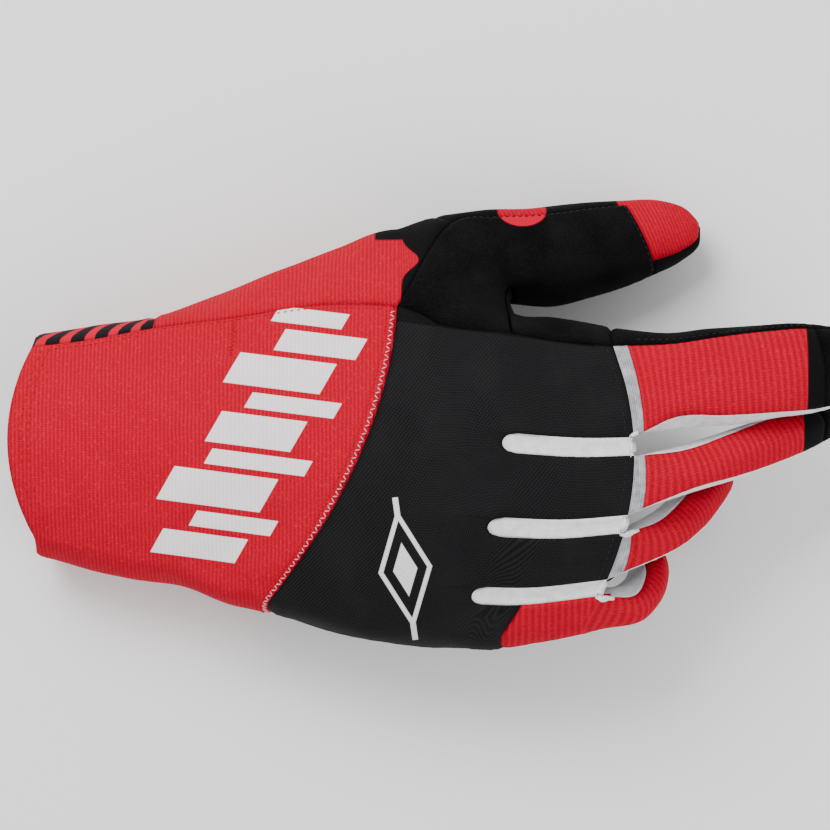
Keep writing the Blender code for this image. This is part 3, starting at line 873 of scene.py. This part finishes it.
def red_window(shade: Shade) -> Sock:
    """0 in the round red window on the thumb's wrap, 1 outside it."""
    across, up = (shade.x - 25.5) / 7.2, (shade.y - 62.3) / 4.8
    return (across * across + up * up).step(0.92, 1.08)


# The cuff's printed bars, in mm: start and width along the band, low and high ends across it.
PRINT_BARS = (
    (-38, 8, -12, 11),
    (-28, 5, -17, 5),
    (-21, 11, -11, 17),
    (-8, 5, -17, 10),
    (-1, 10, -10, 13),
    (11, 5, -16, 8),
    (18, 10, -9, 17),
    (30, 7, -13, 9),
    (39, 5, -5, 14),
)


@dataclass(frozen=True)
class RibKnit:
    """Red knit: ribs across the length, finer courses along it, paler heather, and painted shade in
    the grooves.
    """

    name: str
    rib: float = 1.9
    course: float = 0.85
    depth: float = 0.35
    heather: float = 0.12
    print: Print = Print.NONE
    cover: Cover = Cover.NONE

    def suede(self, shade: Shade) -> object:
        """Share of suede: the thumb's wrap with its round red window, or the fingertips."""
        if self.cover is Cover.NONE:
            return 0.0
        if self.cover is Cover.TIPS:
            return shade.x.step(107.0, 107.4)
        tail = shade.y.step(53.2, 53.9) * shade.x.step(-17.8, -17.2)
        bulge = (shade.y - 47.5) / 3.6
        start = (shade.x - 5.0 * (bulge * bulge * -1.0).math("EXPONENT")).step(-10.0, -9.5)
        tip = (shade.x + (shade.y - 63.6) * 0.376).step(54.0, 54.5)
        return tail.math("MAXIMUM", start) * red_window(shade) * (1 - tip)

    def bars(self, shade: Shade) -> Sock:
        """Slanted bars of unlike lengths, in a band that climbs across the cuff."""
        s, t = shade.turned(-52, -6, 60)
        lean = s + t * 0.42
        found = None
        for start, wide, low, high in PRINT_BARS:
            bar = lean.within(start, start + wide) * t.within(low, high)
            found = bar if found is None else found.math("MAXIMUM", bar)
        return found * shade.z.step(20, 24)

    def make(self) -> bpy.types.Material:
        """The material: rib and course waves, thinned by noise, with heathered colour and painted
        shade where the waves sink.
        """
        shade = Shade(self.name)
        wander = shade.noise(9) * 0.5
        rib = (shade.along + wander).wave(self.rib) * (0.45 + shade.noise(3.5, 2) * 0.8)
        course = (shade.across + wander * 0.6).wave(self.course) * 0.7
        fleck = shade.noise(0.7, 2)
        suede = self.suede(shade)
        height = (rib * 0.62 + course * 0.22) * (1 - suede) + fleck * 0.3
        # tone follows the rib and course waves, so the grooves are painted darker: painted shade.
        # Its fleck share is random tone.
        tone = (rib * 0.45 + course * 0.2 + fleck * 0.35).step(0.12, 0.85)
        red = shade.mix(tone, DEEP_RED, RED)
        red = shade.mix(fleck.step(0.56, 0.75) * self.heather, red, HEATHER)
        red = shade.mix(shade.noise(26, 2).step(0.35, 0.75) * 0.14, red, DEEP_RED)
        if self.print is Print.BARS:
            # The print fades into the red in the rib grooves: painted shade.
            print_groove_shade = 0.95 - 0.16 * (1 - tone)
            red = shade.mix(self.bars(shade) * print_groove_shade, red, WHITE)
        if self.cover is not Cover.NONE:
            red = shade.mix(suede, red, shade.mix(shade.noise(0.6, 4), SUEDE_DARK, SUEDE_PALE))
        return shade.finish(red, 0.9, height, self.depth)


@dataclass(frozen=True)
class StretchCloth:
    """Black stretch cloth: a fine twill with painted shade in its hollows, and a small emblem
    printed beside the knuckles.
    """

    name: str
    twill: float = 0.95
    print: Print = Print.NONE

    def emblem(self, shade: Shade) -> Sock:
        """Two nested outlined lozenges and a bar, leaning with the seam."""
        s, t = shade.turned(-8.6, -42, 98)
        reach = s.math("ABSOLUTE") / 17.5 + t.math("ABSOLUTE") / 7.8
        ring = reach.within(0.82, 1.0, 0.02)
        core = reach.within(-0.1, 0.45, 0.02)
        bar = t.within(-0.8, 0.8) * s.within(-21, 21) * (1 - reach.within(-1, 0.99, 0.02))
        return ring.math("MAXIMUM", core).math("MAXIMUM", bar)

    def make(self) -> bpy.types.Material:
        """The material: two waves crossing on the slant, with noise, and painted shade where they
        sink.
        """
        shade = Shade(self.name)
        twill = (shade.along + shade.across * 0.7).wave(self.twill)
        weft = (shade.across - shade.along * 0.2).wave(self.twill * 0.9)
        fleck = shade.noise(0.8, 3)
        height = twill * 0.5 + weft * 0.3 + fleck * 0.4
        # tone is the weave's height, so the hollows are painted darker: painted shade.
        tone = height.step(0.2, 1.0)
        black = shade.mix(tone, STRETCH_DARK, STRETCH_PALE)
        black = shade.mix(shade.noise(18, 3).step(0.4, 0.75) * 0.3, black, STRETCH_WORN)
        strip = (shade.y + 0.133 * shade.x - 27.9).step(-0.2, 0.2) * (1 - shade.x.step(45.6, 46.0))
        black = shade.mix(strip, black, shade.mix(fleck, SUEDE_DARK, SUEDE_PALE))
        if self.print is Print.EMBLEM:
            # The emblem fades in the weave's hollows: painted shade.
            black = shade.mix(self.emblem(shade) * (0.92 - 0.2 * (1 - tone)), black, WHITE)
        return shade.finish(black, 0.84 - 0.1 * tone, height, 0.16)


@dataclass(frozen=True)
class Suede:
    """Black synthetic suede: a short mottled nap, greyer where it is rubbed."""

    name: str
    window: bool = False

    def make(self) -> bpy.types.Material:
        """The material: fine and broad noise."""
        shade = Shade(self.name)
        nap, broad = shade.noise(0.5, 4), shade.noise(11, 3)
        tone = (nap * 0.6 + broad * 0.5).step(0.35, 0.8)
        black = shade.mix(tone, SUEDE_DARK, SUEDE_PALE)
        if self.window:
            black = shade.mix(red_window(shade), RED, black)
        return shade.finish(black, 0.95 - 0.06 * tone, nap, 0.22)


@dataclass(frozen=True)
class Gusset:
    """White stretch gusset: close courses with small creases across it, painted darker where they
    sink, as painted shade.
    """

    name: str
    dark: tuple[float, float, float] = (0.66, 0.67, 0.70)
    pale: tuple[float, float, float] = (0.94, 0.94, 0.95)

    def make(self) -> bpy.types.Material:
        """The material: fine waves both ways over soft creases, with painted shade where they sink.
        """
        shade = Shade(self.name)
        course = shade.across.wave(0.5) * 0.3 + shade.along.wave(0.6) * 0.3
        crease = shade.noise(2.6, 2)
        height = course + crease
        # The colour darkens where the creases and courses sink: painted shade.
        white = shade.mix(height.step(0.35, 1.2), self.dark, self.pale)
        return shade.finish(white, 0.7, height, 0.28)


@dataclass(frozen=True)
class StripedGrip:
    """Black cuff band with slanted red stripes."""

    name: str
    pitch: float = 7.8

    def make(self) -> bpy.types.Material:
        """The material: a slanted wave cut to a stripe, on fine courses."""
        shade = Shade(self.name)
        slant = (shade.x + shade.z * 0.8 + shade.y * 0.25).wave(self.pitch)
        stripe = slant.step(0.56, 0.64)
        fleck = shade.noise(0.8, 2)
        height = shade.across.wave(0.7) * 0.4 + fleck * 0.4
        colour = shade.mix(stripe, BAND_BLACK, RED)
        return shade.finish(colour, 0.74, height, 0.18)


@dataclass(frozen=True)
class Thread:
    """Sewing thread of one colour."""

    name: str
    colour: tuple[float, float, float]

    def make(self) -> bpy.types.Material:
        """The material: the colour, with fine noise."""
        shade = Shade(self.name)
        fleck = shade.noise(0.4, 2)
        dark = tuple(0.6 * c for c in self.colour)
        return shade.finish(shade.mix(fleck.step(0.3, 0.7), dark, self.colour), 0.6, fleck, 0.05)


@dataclass
class Panels:
    """All the sewn panels, each in its finish, with a wall inwards."""

    skin: SewnSkin
    wall: float = 1.0

    def finish_of(self, name: str, finishes: dict[str, bpy.types.Material]) -> str:
        """The finish of a panel, by its whole name or by the part before the finger's."""
        return name if name in finishes else name.rpartition("_")[0]

    def build(self, finishes: dict[str, bpy.types.Material]) -> None:
        """Cuts the skin into panels, which replace the solids of the same names.

        Args:
            finishes: materials by panel name, or by the name before a finger's.
        """
        for name in np.unique(self.skin.names):
            mine = self.skin.names == name
            quads, cloth = self.skin.quads[mine], self.skin.cloth[mine]
            used, quads = np.unique(quads, return_inverse=True)
            quads = quads.reshape(-1, 4)
            point = quads[:, 2] == quads[:, 3]
            faces = quads[~point].tolist() + quads[point][:, :3].tolist()
            corners = np.concatenate([cloth[~point].reshape(-1, 2),
                                      cloth[point][:, :3].reshape(-1, 2)])
            kind = self.finish_of(str(name), finishes)
            piece = add_mesh(f"{name}_cloth", self.skin.points[used] * MM, faces,
                             finishes[kind], corners)
            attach(piece, "root")
            solid = piece.modifiers.new("wall", "SOLIDIFY")
            solid.thickness, solid.offset, solid.use_rim = self.wall * MM, -1, True
            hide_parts(str(name))
            log.info("panel %s: %d faces", name, len(faces))


class Grid(IntEnum):
    """Places of the patches that carry stitches, after the three webs."""

    HAND = 3
    INDEX = 4
    MIDDLE = 5
    RING = 6
    THUMB = 8


class Seam(NamedTuple):
    """A row of stitches: its patch, its ends' rows and columns in control cells, sizes in mm."""

    patch: Grid
    rows: tuple[float, float]
    columns: tuple[float, float]
    thread: str
    pitch: float = 2.0
    length: float = 1.4
    zigzag: float = 0.0


SEAMS = (
    Seam(Grid.HAND, (4.94, 4.94), (0.1, 11.9), "pink", 1.25, 1.7, 1.5),
    Seam(Grid.HAND, (4.86, 4.86), (0.1, 11.9), "red", 1.25, 1.2),
    Seam(Grid.HAND, (0.30, 4.8), (0.10, 0.10), "red"),
    Seam(Grid.HAND, (0.30, 1.8), (0.22, 0.22), "red"),
    *(Seam(Grid.HAND, (row, row), (0.2, 10.8), "red", 2.2, 1.5) for row in (0.22, 0.34)),
    *(Seam(Grid.HAND, (8.86, 8.86), (first, first + 1.8), "black") for first in (0.1, 3.1, 6.1)),
    *(Seam(patch, (1.12, 1.12), (1.1, 2.9), "red", 1.9, 1.3)
      for patch in (Grid.INDEX, Grid.MIDDLE, Grid.RING)),
    Seam(Grid.HAND, (3.0, 3.04), (0.06, 0.95), "red", 0.7, 1.9, 2.4),
    Seam(Grid.HAND, (3.45, 3.46), (0.06, 0.22), "red", 0.7, 1.9, 2.4),
    Seam(Grid.THUMB, (1.1, 4.9), (1.12, 1.12), "black"),
    Seam(Grid.THUMB, (4.9, 4.9), (1.1, 3.9), "black"),
    Seam(Grid.INDEX, (1.2, 5.0), (0.86, 0.86), "black"),
)
SAMPLES = 400  # Points along a seam, from which its length is measured.
RINGS, SIDES = 5, 6


@dataclass
class Stitching:
    """Rows of stitches laid on the skin, joined into one piece for each thread."""

    skin: SewnSkin
    radius: float = 0.19

    def stitches(self, seam: Seam) -> Array:
        """A seam's stitches: evenly spaced, each turned to one side and the next to the other.

        A stitch is a tube along a line that dips at both ends as a fourth power. Its radius there
        falls off as an ellipse's.

        Args:
            seam: the row of stitches.
        Returns:
            Points in mm, by stitch, ring and side.
        """
        rows = np.linspace(*seam.rows, SAMPLES) * STEPS
        columns = np.linspace(*seam.columns, SAMPLES) * STEPS
        line, normal = self.skin.sample(seam.patch, rows, columns)
        run = np.insert(np.linalg.norm(np.diff(line, axis=0), axis=1).cumsum(), 0, 0)
        at = np.arange(seam.pitch / 2, run[-1], seam.pitch)
        spot = np.stack([np.interp(at, run, line[:, k]) for k in range(3)], axis=1)
        up = np.stack([np.interp(at, run, normal[:, k]) for k in range(3)], axis=1)
        up /= np.linalg.norm(up, axis=1, keepdims=True)
        ahead = np.gradient(spot, axis=0)
        ahead -= up * (ahead * up).sum(axis=1, keepdims=True)
        ahead /= np.linalg.norm(ahead, axis=1, keepdims=True)
        side = np.cross(up, ahead)
        flip = np.where(np.arange(len(at)) % 2, 1.0, -1.0)[:, None] * seam.zigzag
        way = ahead + side * flip
        way /= np.linalg.norm(way, axis=1, keepdims=True)
        across = np.cross(up, way)
        t = np.linspace(-0.5, 0.5, RINGS)
        angle = np.arange(SIDES) / SIDES * 2 * math.pi
        thick = self.radius * np.sqrt(np.maximum(1 - (2 * t) ** 2 * 0.92, 0))
        middle = (spot[:, None] + way[:, None] * (t * seam.length)[None, :, None]
                  + up[:, None] * (0.10 - 0.30 * (2 * t) ** 4)[None, :, None])
        ring = (across[:, None, None] * (thick[:, None] * np.cos(angle))[None, :, :, None]
                + up[:, None, None] * (thick[:, None] * np.sin(angle))[None, :, :, None])
        return middle[:, :, None] + ring

    def build(self, threads: dict[str, bpy.types.Material]) -> None:
        """Joins each thread's stitches into one closed-tube mesh."""
        for thread, material in threads.items():
            points = np.concatenate([self.stitches(s) for s in SEAMS if s.thread == thread])
            ring, side = np.meshgrid(np.arange(RINGS - 1), np.arange(SIDES), indexing="ij")
            after = (side + 1) % SIDES
            tube = np.stack([ring * SIDES + side, ring * SIDES + after,
                             (ring + 1) * SIDES + after, (ring + 1) * SIDES + side], axis=2)
            end = np.arange(SIDES)
            caps = np.stack([end[::-1], end + (RINGS - 1) * SIDES])
            start = np.arange(len(points))[:, None, None] * RINGS * SIDES
            faces = (tube.reshape(-1, 4) + start).reshape(-1, 4)
            caps = (caps + start).reshape(-1, SIDES)
            piece = add_mesh(f"stitches_{thread}", points.reshape(-1, 3) * MM,
                             faces.tolist() + caps.tolist(), material)
            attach(piece, "root")
            log.info("thread %s: %d stitches", thread, len(points))


@dataclass(frozen=True)
class Studio:
    """Camera straight above, soft lights and a pale floor."""

    look_x: float = -5.8
    look_y: float = 2.4
    view: float = 240.7
    lens: float = 200.0
    sensor: float = 36.0
    plane: float = 42.0
    floor_half: float = 3.0
    floor_drop: float = 0.0004

    def camera(self) -> None:
        """A long lens whose frame covers the view's width at the plane's height."""
        data = bpy.data.cameras.new("camera")
        data.lens, data.sensor_width = self.lens, self.sensor
        camera = bpy.data.objects.new("camera", data)
        away = self.view * self.lens / self.sensor
        camera.location = Vector((self.look_x, self.look_y, self.plane + away)) * MM
        data.clip_start, data.clip_end = 0.05, 10
        bpy.context.scene.collection.objects.link(camera)
        bpy.context.scene.camera = camera

    def light(self, name: str, place: tuple[float, ...], size: float, power: float) -> None:
        """An area light aimed at the glove."""
        data = bpy.data.lights.new(name, "AREA")
        data.size, data.energy = size, power
        lamp = bpy.data.objects.new(name, data)
        lamp.location = place
        aim = Vector((0, 0, 0.03)) - Vector(place)
        lamp.rotation_euler = aim.to_track_quat("-Z", "Y").to_euler()
        bpy.context.scene.collection.objects.link(lamp)

    def build(self) -> None:
        """Sets the floor, the sky and the lights."""
        self.camera()
        world = bpy.data.worlds.new("sky")
        world.use_nodes = True
        sky = world.node_tree.nodes["Background"]
        sky.inputs["Color"].default_value = (1, 1, 1, 1)
        sky.inputs["Strength"].default_value = 0.85
        bpy.context.scene.world = world
        self.light("key", (-0.35, 0.55, 0.80), 0.55, 11.0)
        self.light("fill", (0.60, -0.45, 0.60), 0.80, 4.0)
        half, low = self.floor_half, -self.floor_drop
        corners = np.array([[-half, -half, low], [half, -half, low], [half, half, low],
                            [-half, half, low]])
        floor = add_mesh("floor", corners, [[0, 1, 2, 3]], self.paper())

    def paper(self) -> bpy.types.Material:
        """The floor's plain pale finish."""
        made = bpy.data.materials.new("floor_paper")
        made.use_nodes = True
        surface = made.node_tree.nodes["Principled BSDF"]
        surface.inputs["Base Color"].default_value = (0.92, 0.92, 0.92, 1)
        surface.inputs["Roughness"].default_value = 0.9
        return made


def main() -> None:
    """Builds the glove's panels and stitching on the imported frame."""
    logging.basicConfig(level=logging.INFO)
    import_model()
    skin = SewnSkin(GloveSkin().patches())
    fine = RibKnit("red_side_knit", rib=1.15, course=0.7, depth=0.22, heather=0.15,
                   cover=Cover.THUMB)
    fine_knit = fine.make()
    cuff_knit = replace(fine, name="red_cuff_knit", print=Print.BARS, cover=Cover.NONE).make()
    white, suede = Gusset("white_gusset").make(), Suede("black_suede").make()
    finishes = {
        "cuff_back": cuff_knit,
        "thumb_side": fine_knit,
        "thumb_back": fine_knit,
        "finger_back": RibKnit("red_finger_knit", cover=Cover.TIPS).make(),
        "back_panel": StretchCloth("black_stretch", print=Print.EMBLEM).make(),
        "cuff_palm": StripedGrip("striped_grip").make(),
        "gusset": white,
        # The inserts are white cloth painted grey: painted shade of their sunken fold.
        "insert": Gusset("grey_insert", (0.20, 0.20, 0.22), (0.52, 0.52, 0.55)).make(),
        "little_side_gusset": white,
    }
    for name in ("palm", "thumb_palm", "index_side", "crotch_guard", "fingertip"):
        finishes[name] = suede
    finishes["thumb_wrap"] = Suede("wrap_suede", window=True).make()
    Panels(skin).build(finishes)
    Stitching(skin).build({
        "pink": Thread("pink_thread", (0.90, 0.42, 0.46)).make(),
        "red": Thread("red_thread", (0.55, 0.004, 0.02)).make(),
        "black": Thread("black_thread", (0.02, 0.02, 0.021)).make(),
    })
    Studio().build()


if __name__ == "__main__":
    main()
